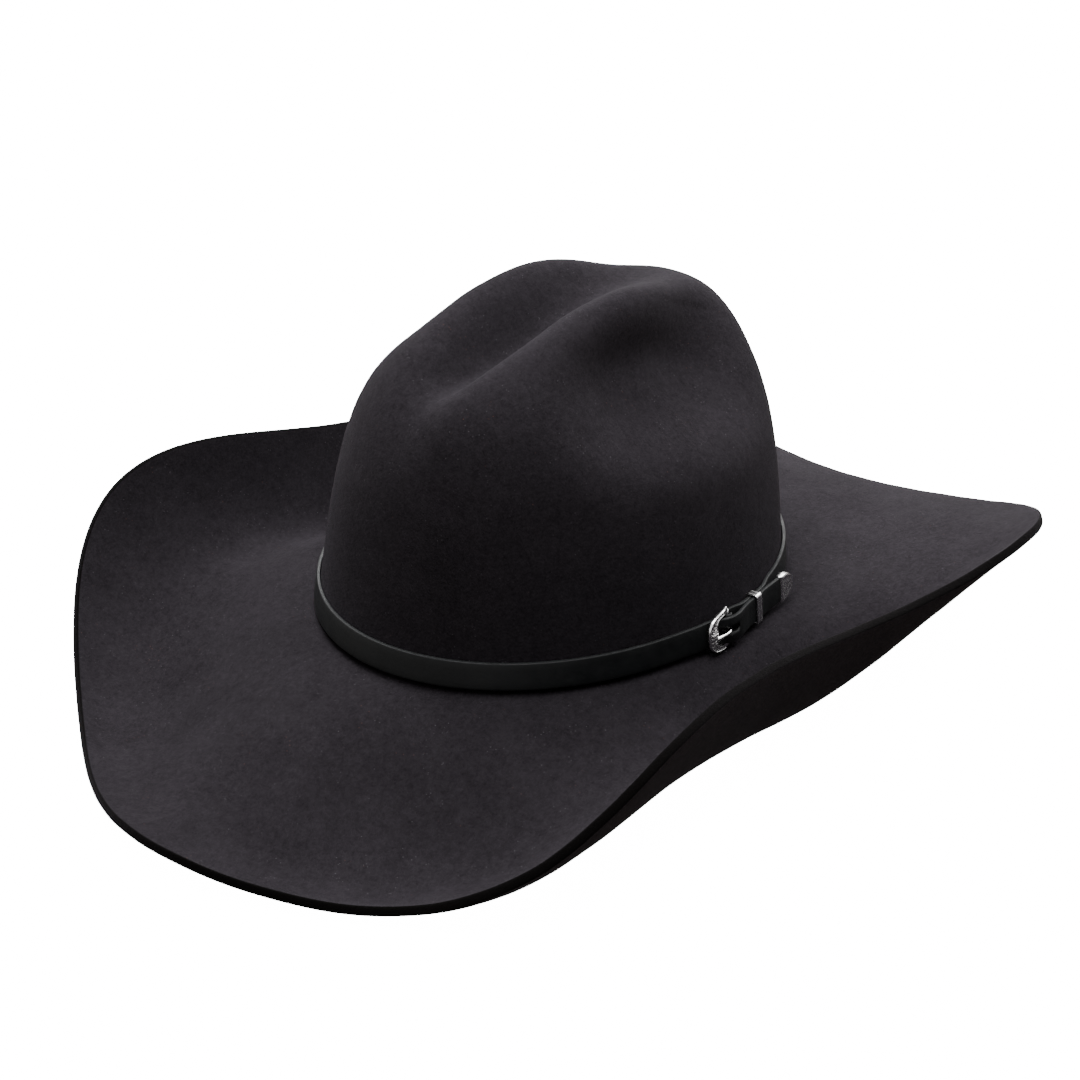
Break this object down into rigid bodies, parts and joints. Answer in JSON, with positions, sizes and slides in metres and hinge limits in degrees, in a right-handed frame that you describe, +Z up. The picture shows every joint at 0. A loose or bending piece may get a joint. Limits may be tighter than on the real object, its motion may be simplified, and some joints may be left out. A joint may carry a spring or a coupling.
{
  "type": "cowboy hat",
  "caption": "Dark felt cowboy hat with a creased crown and rolled brim, a narrow strap band with buckle, keeper and tip, and a leather sweatband and satin lining inside.",
  "frame": {"origin": "centre of the hat's box at the level of the surface that the brim rests on", "axes": "+Z up, -Y to the front of the hat, +X to the wearer's left; the crown leans 2.5 degrees back, as the hat stands on its brim"},
  "size_m": [0.3025, 0.3996, 0.1541],
  "materials": {
    "felt": "brushed fur felt, near black with a soft short nap",
    "sweatband_leather": "smooth dark brown leather with stitching along its lower edge",
    "reed_tape": "woven tape over the reed",
    "ribbon": "ribbed grosgrain ribbon",
    "satin": "smooth satin with a soft sheen",
    "band_leather": "smooth black leather, semi-matt, with burnished edges",
    "silver": "bright silver plate, engraved, darkened in the engraving"
  },
  "bodies": {
    "hat": {"felt_body": "felt", "sweatband": "sweatband_leather", "sweatband_reed": "reed_tape", "sweatband_bow": "ribbon", "side_lining": "satin", "tip_lining": "satin", "hat_band": "band_leather", "band_tip": "silver"},
    "buckle": {"buckle_frame": "silver"},
    "tongue": {"buckle_tongue": "silver"},
    "keeper_loop": {"keeper": "silver"}
  },
  "joints": [
    {"name": "buckle_hinge", "type": "hinge", "parent": "hat", "child": "buckle", "pos_m": [0.08701, 0.01923, 0.03723], "axis": [-0.1038, 0.0349, 0.994], "range_deg": [0, 35]},
    {"name": "tongue_hinge", "type": "hinge", "parent": "buckle", "child": "tongue", "pos_m": [0.08701, 0.01923, 0.03723], "axis": [-0.1038, 0.0349, 0.994], "range_deg": [0, 32]},
    {"name": "keeper_slide", "type": "hinge", "parent": "hat", "child": "keeper_loop", "pos_m": [-0.03235, 0.01523, 0.03741], "axis": [0, 0.0436, 0.999], "range_deg": [-1.9, 1.9]}
  ]
}
